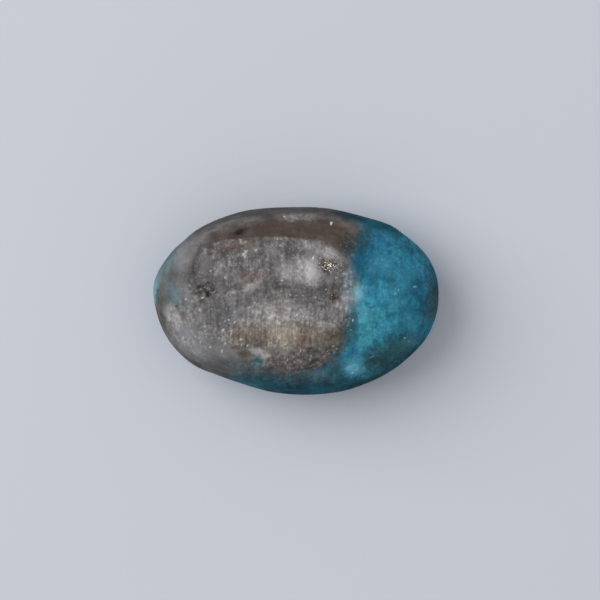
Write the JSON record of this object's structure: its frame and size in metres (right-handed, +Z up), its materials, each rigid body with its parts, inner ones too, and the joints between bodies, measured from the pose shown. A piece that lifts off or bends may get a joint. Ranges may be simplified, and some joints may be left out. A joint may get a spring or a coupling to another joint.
{
  "type": "turquoise nugget",
  "caption": "Oval turquoise nugget in grey host rock, with a domed underside, a rounded bevel and a rough flattened face on top.",
  "frame": {"origin": "on the rest plane, under the middle of the stone's box", "axes": "+X along the length, towards the broad end of clean turquoise; +Z up, out of the rough face"},
  "size_m": [0.016, 0.0106, 0.0062],
  "materials": {
    "turquoise_in_rock": "satin",
    "pyrite": "satin"
  },
  "bodies": {
    "root": {"turquoise_nugget": "turquoise_in_rock"}
  },
  "joints": []
}
